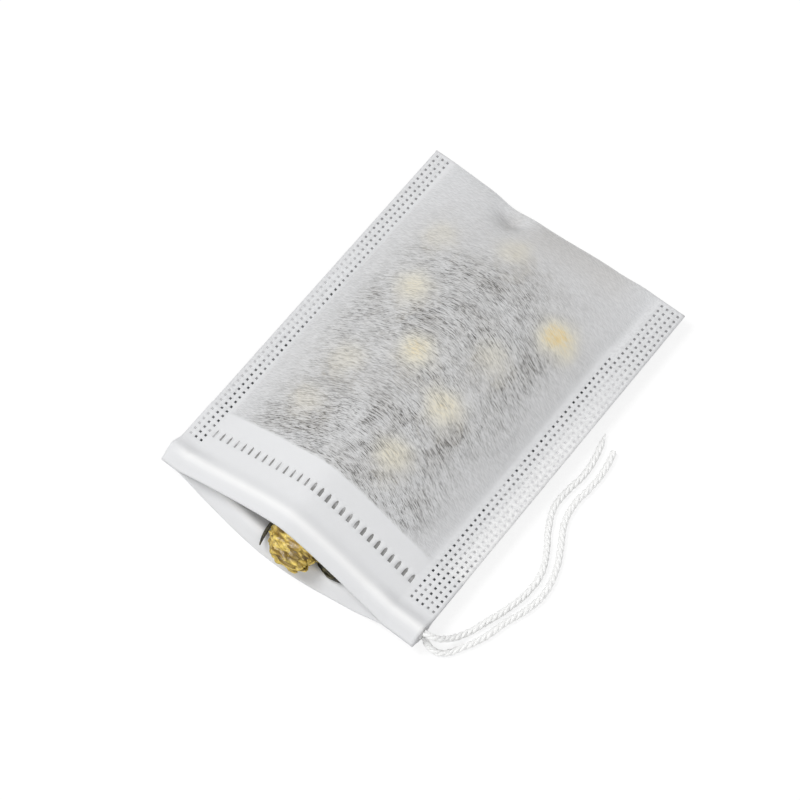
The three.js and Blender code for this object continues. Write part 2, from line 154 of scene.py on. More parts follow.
class TeaBagColours(bpy.types.PropertyGroup):
    """Colours of the cloth, string, petals and leaves"""

    cloth: colour_setting("Cloth", "White non-woven cloth", (0.825, 0.83, 0.84, 1.0))
    # Painted light: a painted highlight along the string's ridge in the hem, and painted light on the wide
    # seal
    painted_light: colour_setting(
        "Backed cloth", "Cloth over the string and in the wide seal", (0.95, 0.95, 0.95, 1.0)
    )
    fibre: colour_setting("Fibre", "Thin places between the fibres", (0.60, 0.60, 0.61, 1.0))
    under: colour_setting("Under", "Tea as a soft shadow under the cloth", (0.38, 0.32, 0.24, 1.0))
    shade: colour_setting("Shade", "Dark leaves showing between the fibres", (0.056, 0.052, 0.043, 1.0))
    stain: colour_setting("Stain", "Petals showing through", (0.92, 0.88, 0.73, 1.0))
    strong_stain: colour_setting("Strong stain", "Petals pressed against the cloth", (0.88, 0.73, 0.42, 1.0))
    # Painted shade: the dark of a pressed dot's pit, laid on its weld film
    weld: colour_setting("Weld", "Pressed weld film of a dot", (0.025, 0.027, 0.03, 1.0))
    slot: colour_setting("Slot", "Pressed weld film of a slot", (0.20, 0.20, 0.195, 1.0))
    cotton: colour_setting("Cotton", "White string", (0.84, 0.84, 0.835, 1.0))
    petal: colour_setting("Petal", "Dry golden petals", (0.45, 0.28, 0.035, 1.0))
    # Pale petal tips, also laid on the petals' ridges as a painted highlight
    pale_tip_and_highlight: colour_setting("Petal tip", "Pale yellow petal tips", (0.88, 0.67, 0.16, 1.0))
    # Brown of the petals' veins, and painted shade in their folds and on the core
    petal_vein_and_shade: colour_setting("Petal fold", "Brown folds between petals", (0.055, 0.032, 0.006, 1.0))
    leaf: colour_setting("Leaf", "Dark rolled leaves", (0.014, 0.014, 0.012, 1.0))
    floor: colour_setting("Floor", "Pale ground", (0.98, 0.98, 0.98, 1.0))
    open_share: FloatProperty(
        name="Open share",
        description="How much of the cloth is holes",
        default=0.4,
        min=0.0,
        max=1.0,
        subtype="FACTOR",
    )


class TeaBagSettings(bpy.types.PropertyGroup):
    """Everything that can be changed about the tea bag"""

    sizes: PointerProperty(type=TeaBagSizes, name="Sizes", description="Sizes of the bag")
    colours: PointerProperty(type=TeaBagColours, name="Colours", description="Colours of the bag")


# The form of the folded sheet


def lerp(a, b, share):
    return a + (b - a) * share


def smoothstep(x, low, high):
    share = min(1.0, max(0.0, (x - low) / (high - low)))
    return share * share * (3.0 - 2.0 * share)


class SheetForm:
    """The two faces of the bag: x across it, v from 0 at the fold to 1 at the mouth"""

    DENT = {"x": -6.8 * MM, "v": 0.03, "depth": 2.8 * MM, "width": 2.6 * MM, "length": 0.04}
    NOTCH_X = -8.3 * MM

    def __init__(self, sizes):
        self.s = sizes
        self.left = -sizes.width / 2
        self.right = sizes.width / 2
        self.inner_left = self.left + sizes.left_seal
        self.inner_right = self.right - sizes.right_seal
        self.middle = (self.inner_left + self.inner_right) / 2
        self.half_span = (self.inner_right - self.inner_left) / 2
        self.fold_edge = (sizes.length + sizes.back_reach) / 2
        self.corner = self.fold_edge - sizes.length
        self.flap_v = 1 - sizes.flap / sizes.length
        self.channel = sizes.cord / 2 + sizes.cord_room

    def across(self, x):
        return min(1.0, max(-1.0, (x - self.middle) / self.half_span))

    def y_at(self, x, v, front):
        round_off = 1 - self.across(x) ** 2
        pinch = math.exp(-(((x - self.NOTCH_X) / (3.0 * MM)) ** 2))
        fold = self.fold_edge - self.s.fold_pull * round_off - self.s.notch * pinch
        fold += self.s.corner_reach * smoothstep(x, 12 * MM, self.inner_right)
        lip = self.s.front_pull * round_off if front else -self.s.back_reach * round_off**2
        return lerp(fold, self.corner + lip, v)

    def crown_shape(self, x, v):
        share = self.across(x)
        to_mouth = smoothstep(v, 0.5, 0.92)
        pillow = max(0.0, 1 - share * share) ** lerp(0.66, 0.9, smoothstep(share, 0.0, 1.0))
        soft = lerp(0.06, 0.006, to_mouth)
        ridge = math.sqrt(1 + soft) - math.sqrt(share * share + soft)
        tent = ridge / (math.sqrt(1 + soft) - math.sqrt(soft))
        return lerp(pillow, tent, lerp(0.25, 1.0, to_mouth))

    def crown_rise(self, v):
        rise = math.sin(math.pi / 2 * min(1.0, v / 0.42)) ** 0.75
        return self.s.crown * rise - self.s.mouth_drop * smoothstep(v, 0.7, 1.0)

    def fold_lift(self, x, v, run):
        fade = max(0.0, 1 - v / run) ** 2
        return self.s.fold_lift * (1 - self.across(x) ** 2) * smoothstep(x, -3 * MM, 17 * MM) * fade

    def dent(self, x, v):
        d = self.DENT
        away = ((x - d["x"]) / d["width"]) ** 2 + ((v - d["v"]) / d["length"]) ** 2
        return d["depth"] * math.exp(-away) * min(1.0, v / d["v"])

    def back_share(self, x, v):
        share = abs(self.across(x))
        sideways = min(1.0, max(0.0, 1.9 * (1 - share**2.5)))
        return sideways * min(1.0, v / 0.1) ** 0.7

    def in_hem(self, v):
        return smoothstep(v, self.flap_v - 0.004, self.flap_v)

    def swelling(self, v):
        away = abs((1 - v) * self.s.length - self.s.cord_inset) / self.s.channel_spread
        return math.cos(math.pi / 2 * away) ** 3 if away < 1 else 0.0

    def half_thickness(self, v):
        return self.s.ply / 2 * (1 + self.in_hem(v)) + self.channel * self.swelling(v)

    def hem_stack(self, v):
        return self.s.ply * self.in_hem(v) + 2 * self.channel * self.swelling(v)

    def front_outer(self, x, v):
        shape = self.crown_shape(x, v)
        hem = lerp(self.hem_stack(v), self.channel * self.swelling(v), smoothstep(shape, 0.0, 0.3))
        base = self.s.seam_height + self.s.seam_slit / 2 + self.s.ply
        return base + self.crown_rise(v) * shape + self.fold_lift(x, v, 0.25) - self.dent(x, v) + hem

    def back_outer(self, x, v):
        sealed = self.s.seam_height - self.s.seam_slit / 2 - self.s.ply - self.hem_stack(v)
        return lerp(sealed + self.fold_lift(x, v, 0.1), 0.0, self.back_share(x, v))

    def wrinkle(self, x, y, v):
        """Small unevenness of the front: puckers along the seals and soft lumps over the filling"""
        inside = min(x - self.inner_left, self.inner_right - x)
        pucker = math.exp(-abs(inside) / (2.4 * MM)) * noise.noise(Vector((x * 60, y * 420, 3.1)))
        body = smoothstep(inside, 0.0, 6 * MM) * smoothstep(v, 0.02, 0.15) * (1 - smoothstep(v, 0.72, 0.82))
        lump = noise.noise(Vector((x * 130, y * 130, 7.7)))
        lump += 0.4 * noise.noise(Vector((x * 330, y * 330, 1.3)))
        return (0.16 * pucker * (1 - self.in_hem(v)) + 0.22 * lump * body) * MM

    def doubled(self, part, x, v):
        """How far the cloth lies double here, in the hem or in a seal, from 0 to 1"""
        near_fold = 1 - smoothstep(v, 0.12, 0.2)
        inside = min(x - self.inner_left, self.inner_right + 0.9 * MM * near_fold - x)
        turned_in = 1.0 if "flap" in part else 0.0
        return max(self.in_hem(v), 1 - smoothstep(inside, -0.2 * MM, 1.4 * MM), turned_in)

    def filled(self, x, v):
        """How full of tea the bag is here, from 0 at the seals, fold and hem to 1; right of the dent it
        reaches the fold as painted shade along the turn
        """
        inside = min(x - self.inner_left, self.inner_right - x)
        sides = smoothstep(inside, 2.0 * MM, 9.0 * MM)
        # Right of the dent the share runs on to the fold, where it paints shade along the turn
        raised = smoothstep(x, self.DENT["x"], self.DENT["x"] + 10 * MM)
        from_fold = smoothstep(v, lerp(0.05, -0.16, raised), lerp(0.2, 0.06, raised))
        return sides * from_fold * (1 - self.in_hem(v))

    def leafy(self, x, v):
        """How many leaves lie right under the cloth here, from 0 near the seals, fold and hem to 1"""
        inside = min(x - self.inner_left, self.inner_right - x)
        sides = smoothstep(inside, 0.5 * MM, 8.0 * MM)
        return sides * smoothstep(v, 0.04, 0.28) * (1 - self.in_hem(v))

    def fold_shade(self, x, v):
        """How much painted shade darkens the double cloth where it turns, from 0 to 1: right of the dent and
        in it
        """
        d = self.DENT
        before_seal = 1 - smoothstep(x, self.inner_right - 8 * MM, self.inner_right)
        run = smoothstep(x, d["x"], d["x"] + 7 * MM) * before_seal
        away = ((x - d["x"]) / (1.8 * MM)) ** 2 + ((v - d["v"]) / d["length"]) ** 2
        return max(run * (1 - smoothstep(v, 0.02, 0.14)), 0.8 * math.exp(-away))

    def painted_light_share(self, x, v):
        """How much painted light lies on the cloth here, from 0 to 1: a painted highlight where it lies on
        the string, and painted light on the outer part of the wide seal
        """
        away = ((1 - v) * self.s.length - self.s.cord_inset) / (0.62 * self.s.cord)
        highlight_on_cord = math.exp(-away * away) * smoothstep(x, self.left, self.inner_left)
        light_on_seal = smoothstep(x, self.inner_right + 1.5 * MM, self.right - 1.5 * MM) * smoothstep(v, 0.1, 0.5)
        return max(highlight_on_cord, 0.9 * light_on_seal * (1 - self.in_hem(v)))

    def sealed(self, x, v):
        """How far the two sheets are welded to one here, from 0 to 1, outside the hem"""
        inside = min(x - self.inner_left, self.inner_right - x)
        return (1 - smoothstep(inside, -0.8 * MM, 0.4 * MM)) * (1 - self.in_hem(v))

    def weld_fade(self, x, v):
        """How weakly a weld dot is pressed, from 0 to 1: least in the rows next to the filling"""
        left, right = self.dot_rows()
        if x < self.middle:
            row = (max(left) - x) / self.s.dot_pitch
            midway = smoothstep(v, 0.22, 0.36) * (1 - smoothstep(v, 0.52, 0.70))
            outside = 0.8 * smoothstep(row, 0.9, 2.0) * smoothstep(v, 0.22, 0.36)
            at_fold = 0.35 * (1 - smoothstep(v, 0.3, 0.5))
            return max(at_fold, 0.75 * midway * smoothstep(row, 0.1, 1.0), outside)
        row = (x - min(right)) / self.s.dot_pitch
        midway = smoothstep(v, 0.10, 0.26) * (1 - smoothstep(v, 0.70, 0.84))
        return max(0.35 * (1 - smoothstep(v, 0.1, 0.3)), 0.95 * midway * smoothstep(row, 0.2, 2.4))

    def place(self, part, x, inset):
        """A point of the cloth's own middle surface, inset from the mouth's edge"""
        v = 1 - inset / self.s.length
        front = part.startswith("front")
        y = self.y_at(x, v, front)
        tuck = 0.3 * self.s.ply
        if front:
            tuck *= 1 - smoothstep(self.crown_shape(x, v), 0.0, 0.2)
            z = self.front_outer(x, v) - self.s.ply / 2 - tuck + self.wrinkle(x, y, v)
            if part == "front_flap":
                z -= 2 * self.half_thickness(v) - self.s.ply
        else:
            tuck *= 1 - smoothstep(self.back_share(x, v), 0.0, 0.2)
            z = self.back_outer(x, v) + self.s.ply / 2 + tuck
            if part == "back_flap":
                z += 2 * self.half_thickness(v) - self.s.ply
        return Vector((x, y, z))

    def slot_centres(self):
        pitch = (self.inner_right - self.inner_left) / self.s.slots
        return [self.inner_left + (i + 0.5) * pitch for i in range(self.s.slots)]

    def slot_half(self, x):
        """Half width of a slot, which the slope left of the ridge draws narrower"""
        return self.s.slot_width / 2 * (0.80 if x < self.middle else 1.1)

    def slot_taper(self, part, x, inset):
        """Draws the sides of a slot together towards the fold"""
        end = inset - self.s.slot_inset
        if part != "front" or not 0.4 * MM < end < 0.9 * MM:
            return x
        nearest = min(self.slot_centres(), key=lambda centre: abs(centre - x))
        return lerp(nearest, x, 0.45) if abs(x - nearest) < 0.4 * MM else x

    def dot_rows(self):
        left = [self.left + self.s.row_inset + i * self.s.dot_pitch for i in range(self.s.left_rows)]
        right = [self.right - self.s.row_inset - i * self.s.dot_pitch for i in range(self.s.right_rows)]
        return left, right

    def dot_lines(self):
        """Insets of the weld dots from the mouth's edge"""
        first = self.s.length - self.s.row_inset
        return [first - i * self.s.dot_pitch for i in range(self.s.dots)]


# Meshes and nodes


def finish_piece(name, mesh, materials, replaced):
    """Makes the mesh a piece of the bag that rides with the body and stands for its solids"""
    piece = bpy.data.objects.new(name, mesh)
    bpy.context.scene.collection.objects.link(piece)
    for material in materials:
        mesh.materials.append(material)
    mesh.shade_smooth()
    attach(piece, BODY)
    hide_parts(*replaced)
    return piece


def mesh_from(bm, name):
    mesh = bpy.data.meshes.new(name)
    bm.to_mesh(mesh)
    bm.free()
    return mesh


def new_material(name):
    material = bpy.data.materials.new(name)
    material.use_nodes = True
    material.node_tree.nodes.clear()
    return material, material.node_tree


def put(tree, kind, inputs=None, **settings):
    """Adds a node, sets it up and fills or links its inputs"""
    node = tree.nodes.new(kind)
    for key, value in settings.items():
        setattr(node, key, value)
    for key, value in (inputs or {}).items():
        if isinstance(value, bpy.types.NodeSocket):
            tree.links.new(value, node.inputs[key])
        else:
            node.inputs[key].default_value = value
    return node


def math_node(tree, operation, a, b=0.0, clamp=False):
    node = put(tree, "ShaderNodeMath", {0: a, 1: b}, operation=operation, use_clamp=clamp)
    return node.outputs[0]


def times(tree, a, b, clamp=False):
    return math_node(tree, "MULTIPLY", a, b, clamp)


def plus(tree, a, b, clamp=False):
    return math_node(tree, "ADD", a, b, clamp)


def spread(tree, value, low, high, to_low=0.0, to_high=1.0):
    node = put(
        tree,
        "ShaderNodeMapRange",
        {"Value": value, "From Min": low, "From Max": high, "To Min": to_low, "To Max": to_high},
        interpolation_type="SMOOTHSTEP",
    )
    return node.outputs[0]


def mix_colour(tree, share, a, b):
    node = put(tree, "ShaderNodeMix", {0: share, 6: a, 7: b}, data_type="RGBA", clamp_factor=True)
    return node.outputs[2]


def noise_node(tree, vector, scale, detail=3.0, roughness=0.55, distortion=0.0):
    grain = {"Scale": scale, "Detail": detail, "Roughness": roughness, "Distortion": distortion}
    return put(tree, "ShaderNodeTexNoise", {"Vector": vector, **grain}).outputs[0]


def object_coords(tree):
    return put(tree, "ShaderNodeTexCoord").outputs["Object"]


def surface_out(tree, shader):
    put(tree, "ShaderNodeOutputMaterial", {"Surface": shader})


# Finishes

RIDGE_SOFTNESS = 7 * MM
STREAK_LAYERS = 60.0
# Streaks of the cloth: tilt of the fibres in degrees, then cells for each metre along and across them
LONG_STREAKS = (20, 820.0, 7400.0)
FINE_STREAKS = (24, 1300.0, 8600.0)
CROSS_STREAKS = (-10, 900.0, 6800.0)
STEEP_STREAKS = (31, 900.0, 8200.0)
COTTON_SHADE = (0.62, 0.62, 0.61, 1.0)
COTTON_LIGHT = (0.93, 0.93, 0.92, 1.0)
LEAF_OLIVE = (0.10, 0.09, 0.04, 1.0)
LEAF_BROWN = (0.16, 0.12, 0.07, 1.0)
WHITE = (1.0, 1.0, 1.0, 1.0)


def streak_vector(tree, middle, streaks):
    """Coordinates drawn out along the fibres, which bend downhill on both sides of the bag's ridge"""
    tilt, along, across = streaks
    parts = put(tree, "ShaderNodeSeparateXYZ", {0: object_coords(tree)})
    off = math_node(tree, "SUBTRACT", parts.outputs[0], middle)
    squared = plus(tree, times(tree, off, off), RIDGE_SOFTNESS**2)
    downhill = times(tree, math_node(tree, "SQRT", squared), math.tan(math.radians(tilt)))
    bent = plus(tree, parts.outputs[1], downhill)
    lengthwise = times(tree, off, along)
    sideways = times(tree, bent, across)
    layer = times(tree, parts.outputs[2], STREAK_LAYERS)
    return put(tree, "ShaderNodeCombineXYZ", {0: lengthwise, 1: sideways, 2: layer}).outputs[0]


def attribute(tree, name):
    return put(tree, "ShaderNodeAttribute", attribute_name=name).outputs["Fac"]


def cloth_finish(colours, form):
    """White non-woven cloth: streaky fibres with holes between them, tinted where tea lies under it, with a
    painted highlight along the string, painted light on the wide seal and painted shade where the fold turns
    """
    material, tree = new_material("non_woven_cloth")
    coords = object_coords(tree)
    long_streaks = streak_vector(tree, form.middle, LONG_STREAKS)
    fine_streaks = streak_vector(tree, form.middle, FINE_STREAKS)
    cross_streaks = streak_vector(tree, form.middle, CROSS_STREAKS)
    steep_streaks = streak_vector(tree, form.middle, STEEP_STREAKS)
    streak = noise_node(tree, long_streaks, 1.0, 3.0, 0.62)
    steep = noise_node(tree, steep_streaks, 1.0, 2.0, 0.6)
    fine = noise_node(tree, fine_streaks, 1.0, 2.0, 0.6)
    cross = noise_node(tree, cross_streaks, 1.0, 2.0, 0.6)
    cloud = noise_node(tree, coords, 170.0, 3.0, 0.6)
    petals, tea_and_fold_shade, leafy = (attribute(tree, name) for name in ("near_petals", "tea_and_fold_shade", "leafy"))
    single = math_node(tree, "SUBTRACT", 1.0, attribute(tree, "doubled"), clamp=True)
    thin = plus(tree, times(tree, fine, 0.6), times(tree, cross, 0.4))
    uneven = times(tree, single, spread(tree, tea_and_fold_shade, 0.0, 1.0, 0.14, 0.17))
    gaps = times(tree, spread(tree, thin, 0.62, 0.36), uneven)
    # Painted highlight along the string and painted light on the wide seal, mixed into the cloth's colour
    painted_light = mix_colour(tree, attribute(tree, "painted_light_share"), colours.cloth, colours.painted_light)
    speckle = noise_node(tree, coords, 3600.0, 2.0)
    sealed = attribute(tree, "sealed")
    pressed = times(tree, sealed, spread(tree, speckle, 0.42, 0.64, 0.0, 0.42))
    fibres = mix_colour(tree, math_node(tree, "MAXIMUM", gaps, pressed), painted_light, colours.fibre)
    # Soft shadow of the tea under the cloth, and painted shade along the fold right of the dent
    under = times(tree, tea_and_fold_shade, spread(tree, cloud, 0.34, 0.68, 0.0, 0.14))
    # Painted shade where the fold turns and in the dent
    turned = times(tree, attribute(tree, "fold_shade"), 0.17)
    shadow = mix_colour(tree, math_node(tree, "MAXIMUM", under, turned), fibres, colours.under)
    clear = math_node(tree, "SUBTRACT", 1.0, times(tree, petals, 0.85), clamp=True)
    patchy = times(tree, cloud, 0.13)
    line = spread(tree, plus(tree, streak, patchy), 0.59, 0.70)
    steep_line = spread(tree, plus(tree, steep, patchy), 0.605, 0.72, 0.0, 0.85)
    lines = math_node(tree, "MAXIMUM", line, steep_line)
    dark = times(tree, times(tree, lines, leafy), clear, clamp=True)
    frayed = plus(tree, petals, spread(tree, thin, 0.3, 0.7, -0.30, 0.30))
    stain = mix_colour(tree, spread(tree, frayed, 0.5, 1.1), colours.stain, colours.strong_stain)
    weak = times(tree, petals, spread(tree, thin, 0.3, 0.6, 0.85, 1.32), clamp=True)
    tinted = mix_colour(tree, weak, shadow, stain)
    colour = mix_colour(tree, times(tree, dark, 0.86), tinted, colours.shade)
    widest, narrowest = colours.open_share + 0.05, colours.open_share - 0.15
    unbacked = times(tree, single, clear)
    open_part = times(tree, unbacked, spread(tree, thin, 0.35, 0.65, widest, narrowest))
    cover = math_node(tree, "SUBTRACT", 1.0, open_part)
    bump = put(tree, "ShaderNodeBump", {"Strength": 0.06, "Distance": 0.0001, "Height": thin})
    solid = put(
        tree,
        "ShaderNodeBsdfPrincipled",
        {"Base Color": colour, "Roughness": 0.88, "Specular IOR Level": 0.25, "Normal": bump.outputs[0]},
    )
    glow = put(tree, "ShaderNodeBsdfTranslucent", {"Color": colour, "Normal": bump.outputs[0]})
    fibre = put(tree, "ShaderNodeMixShader", {0: 0.3, 1: solid.outputs[0], 2: glow.outputs[0]})
    holes = put(tree, "ShaderNodeBsdfTransparent")
    cloth = put(tree, "ShaderNodeMixShader", {0: cover, 1: holes.outputs[0], 2: fibre.outputs[0]})
    surface_out(tree, cloth.outputs[0])
    return material


def weld_finish(name, colour, pale):
    """Film of melted fibre at the bottom of a weld point in the given colour, which on the dots is the
    painted shade of the pit; paler where it was pressed less
    """
    material, tree = new_material(name)
    patch = noise_node(tree, object_coords(tree), 330.0, 2.0)
    mottle = noise_node(tree, object_coords(tree), 1100.0, 2.0)
    uneven = plus(tree, times(tree, patch, 0.6), times(tree, mottle, 0.4))
    faint = spread(tree, uneven, 0.46, 0.66, 0.0, 0.7)
    weak = math_node(tree, "MAXIMUM", faint, attribute(tree, "weld_fade"))
    tone = mix_colour(tree, weak, colour, pale)
    film = put(
        tree,
        "ShaderNodeBsdfPrincipled",
        {"Base Color": tone, "Roughness": 0.6, "Specular IOR Level": 0.2},
    )
    surface_out(tree, film.outputs[0])
    return material


def cotton_finish(colours):
    """White twisted cotton with a fine nap"""
    material, tree = new_material("twisted_cotton")
    coords = object_coords(tree)
    nap = noise_node(tree, coords, 4200.0, 3.0, 0.65)
    cloud = noise_node(tree, coords, 700.0, 2.0)
    shade = mix_colour(tree, spread(tree, nap, 0.62, 0.32, 0.0, 0.45), colours.cotton, COTTON_SHADE)
    colour = mix_colour(tree, spread(tree, cloud, 0.45, 0.75, 0.0, 0.25), shade, COTTON_LIGHT)
    bump = put(tree, "ShaderNodeBump", {"Strength": 0.6, "Distance": 0.0001, "Height": nap})
    yarn = put(
        tree,
        "ShaderNodeBsdfPrincipled",
        {"Base Color": colour, "Roughness": 0.9, "Sheen Weight": 0.3, "Normal": bump.outputs[0]},
    )
    surface_out(tree, yarn.outputs[0])
    return material


def petal_finish(colours):
    """Dry golden petals with brown veins, pale towards their tips, with a painted highlight on their ridges
    and painted shade in their folds
    """
    material, tree = new_material("dry_petals")
    coords = object_coords(tree)
    patch = noise_node(tree, coords, 420.0, 3.0, 0.6)
    vein = noise_node(tree, coords, 2600.0, 3.0, 0.6, 0.4)
    # Painted shade in the petals' folds, towards their bases and on the core
    depth = attribute(tree, "petal_painted_shade")
    # Paler towards the tips, with a painted highlight on the ridges
    tip_and_highlight = attribute(tree, "pale_tip_and_highlight")
    pale = plus(tree, times(tree, tip_and_highlight, 0.55), times(tree, patch, 0.6))
    base = mix_colour(tree, spread(tree, pale, 0.38, 0.85), colours.petal, colours.pale_tip_and_highlight)
    veined = mix_colour(tree, spread(tree, vein, 0.56, 0.34, 0.0, 0.4), base, colours.petal_vein_and_shade)
    colour = mix_colour(tree, times(tree, depth, 0.85), veined, colours.petal_vein_and_shade)
    bump = put(tree, "ShaderNodeBump", {"Strength": 0.35, "Distance": 0.0002, "Height": vein})
    petal = put(
        tree,
        "ShaderNodeBsdfPrincipled",
        {"Base Color": colour, "Roughness": 0.30, "Specular IOR Level": 0.6, "Normal": bump.outputs[0]},
    )
    surface_out(tree, petal.outputs[0])
    return material


def leaf_finish(colours):
    """Dark rolled leaf with olive and brown patches"""
    material, tree = new_material("rolled_leaf")
    coords = object_coords(tree)
    patch = noise_node(tree, coords, 500.0, 3.0, 0.6)
    vein = noise_node(tree, coords, 2400.0, 3.0, 0.6)
    olive = mix_colour(tree, spread(tree, patch, 0.45, 0.7), colours.leaf, LEAF_OLIVE)
    colour = mix_colour(tree, spread(tree, vein, 0.5, 0.75, 0.0, 0.7), olive, LEAF_BROWN)
    bump = put(tree, "ShaderNodeBump", {"Strength": 0.5, "Distance": 0.0002, "Height": vein})
    leaf = put(
        tree,
        "ShaderNodeBsdfPrincipled",
        {"Base Color": colour, "Roughness": 0.6, "Normal": bump.outputs[0]},
    )
    surface_out(tree, leaf.outputs[0])
    return material


def floor_finish(colours):
    """Pale ground that keeps a faint shadow"""
    material, tree = new_material("pale_ground")
    ground = put(tree, "ShaderNodeBsdfDiffuse", {"Color": colours.floor})
    white = put(tree, "ShaderNodeEmission", {"Color": WHITE, "Strength": 1.0})
    path = put(tree, "ShaderNodeLightPath")
    mirrored = plus(tree, path.outputs["Is Glossy Ray"], path.outputs["Is Transmission Ray"])
    looked_at = plus(tree, path.outputs["Is Camera Ray"], mirrored, clamp=True)
    seen = times(tree, looked_at, 0.8)
    both = put(tree, "ShaderNodeMixShader", {0: seen, 1: ground.outputs[0], 2: white.outputs[0]})
    surface_out(tree, both.outputs[0])
    return material


# Stage

CAMERA_AZIMUTH = math.radians(38.1)
CAMERA_ELEVATION = math.radians(66.0)
CAMERA_DISTANCE = 0.422
CAMERA_LENS = 119.0
BAG_CENTRE = Vector((0.0, 0.00095, 0.0))
AIM_LEFT = 0.00399
AIM_DOWN = 0.00064
FLOOR_HALF = 3.0
FLOOR_SINK = 0.00005
SKY_STRENGTH = 0.57
# Lamps: place in metres, size and power
LAMPS = {
    "key_lamp": ((-0.42, -0.18, 0.78), 0.4, 4.7),
    "fill_lamp": ((0.45, -0.30, 0.70), 0.6, 1.7),
}


class TEABAG_OT_stage(bpy.types.Operator):
    """Set up the ground, the lamps and the camera"""

    bl_idname = "teabag.stage"
    bl_label = "Stage"

    def execute(self, context):
        scene = context.scene
        scene.view_settings.view_transform = "Standard"
        colours = scene.tea_bag.colours
        bm = bmesh.new()
        bmesh.ops.create_grid(bm, x_segments=1, y_segments=1, size=FLOOR_HALF)
        bmesh.ops.translate(bm, verts=bm.verts, vec=(0.0, 0.0, -FLOOR_SINK))
        floor = bpy.data.objects.new("ground", mesh_from(bm, "ground"))
        floor.data.materials.append(floor_finish(colours))
        scene.collection.objects.link(floor)
        self.light_world(scene)
        for name, (place, size, power) in LAMPS.items():
            self.add_lamp(scene, name, place, size, power)
        self.add_camera(scene)
        return {"FINISHED"}

    def light_world(self, scene):
        world = bpy.data.worlds.new("soft_daylight")
        world.use_nodes = True
        tree = world.node_tree
        tree.nodes.clear()
        sky = put(tree, "ShaderNodeBackground", {"Color": WHITE, "Strength": SKY_STRENGTH})
        put(tree, "ShaderNodeOutputWorld", {"Surface": sky.outputs[0]})
        scene.world = world

    def add_lamp(self, scene, name, place, size, power):
        data = bpy.data.lights.new(name, "AREA")
        data.shape = "DISK"
        data.size = size
        data.energy = power
        lamp = bpy.data.objects.new(name, data)
        lamp.location = place
        lamp.rotation_euler = (-Vector(place)).to_track_quat("-Z", "Y").to_euler()
        scene.collection.objects.link(lamp)

    def add_camera(self, scene):
        flat = math.cos(CAMERA_ELEVATION)
        back = Vector(
            (math.sin(CAMERA_AZIMUTH) * flat, -math.cos(CAMERA_AZIMUTH) * flat, math.sin(CAMERA_ELEVATION))
        )
        right = Vector((math.cos(CAMERA_AZIMUTH), math.sin(CAMERA_AZIMUTH), 0.0))
        up = back.cross(right)
        data = bpy.data.cameras.new("camera")
        data.lens = CAMERA_LENS
        data.sensor_width = 36.0
        data.clip_start = 0.01
        camera = bpy.data.objects.new("camera", data)
        camera.location = BAG_CENTRE + back * CAMERA_DISTANCE
        aim = BAG_CENTRE - right * AIM_LEFT - up * AIM_DOWN
        turned = back.rotation_difference(camera.location - aim)
        axes = Matrix((turned @ right, turned @ up, turned @ back)).transposed()
        camera.rotation_euler = axes.to_euler()
        scene.collection.objects.link(camera)
        scene.camera = camera


# String

STRANDS = 3
STRAND_PITCH = 3.4 * MM
# Thickness of a strand and its way off the middle, as shares of the string's diameter
STRAND_RADIUS = 0.29
STRAND_OFFSET = 0.22
THIN_TIP = 2.4 * MM


def centreline(points):
    """Smooth line through the points, as Blender's own curve draws it"""
    data = bpy.data.curves.new("line", "CURVE")
    data.dimensions = "3D"
    data.resolution_u = 16
    spline = data.splines.new("BEZIER")
    spline.bezier_points.add(len(points) - 1)
    for knot, point in zip(spline.bezier_points, points):
        knot.co = point
        knot.handle_left_type = knot.handle_right_type = "AUTO"
    holder = bpy.data.objects.new("line", data)
    bpy.context.scene.collection.objects.link(holder)
    mesh = bpy.data.meshes.new_from_object(holder.evaluated_get(bpy.context.evaluated_depsgraph_get()))
    line = [vert.co.copy() for vert in mesh.vertices]
    bpy.data.objects.remove(holder)
    bpy.data.curves.remove(data)
    bpy.data.meshes.remove(mesh)
    return line


def line_length(line):
    return sum((b - a).length for a, b in zip(line, line[1:]))


def twisted_yarn(name, line, diameter, taper):
    """Three strands wound round the line, as one mesh"""
    data = bpy.data.curves.new(name, "CURVE")
    data.dimensions = "3D"
    data.bevel_depth = STRAND_RADIUS * diameter
    data.bevel_resolution = 2
    data.use_fill_caps = True
    total = line_length(line)
    for strand in range(STRANDS):
        spline = data.splines.new("POLY")
        spline.points.add(len(line) - 1)
        run = 0.0
        for i, point in enumerate(line):
            ahead = line[min(i + 1, len(line) - 1)] - line[max(i - 1, 0)]
            side = ahead.cross(Vector((0.0, 0.0, 1.0))).normalized()
            over = side.cross(ahead).normalized()
            turn = 2 * math.pi * (run / STRAND_PITCH + strand / STRANDS)
            thin = lerp(0.25, 1.0, smoothstep(total - run, 0.0, taper)) if taper else 1.0
            loose = 1 + 0.10 * noise.noise(point * 900 + Vector((strand, 0, 0)))
            offset = STRAND_OFFSET * diameter * thin * loose
            spline.points[i].co = (*(point + offset * (math.cos(turn) * side + math.sin(turn) * over)), 1.0)
            spline.points[i].radius = thin * loose
            if i + 1 < len(line):
                run += (line[i + 1] - point).length
    holder = bpy.data.objects.new(name, data)
    bpy.context.scene.collection.objects.link(holder)
    mesh = bpy.data.meshes.new_from_object(holder.evaluated_get(bpy.context.evaluated_depsgraph_get()))
    bpy.data.objects.remove(holder)
    bpy.data.curves.remove(data)
    mesh.materials.clear()
    return mesh


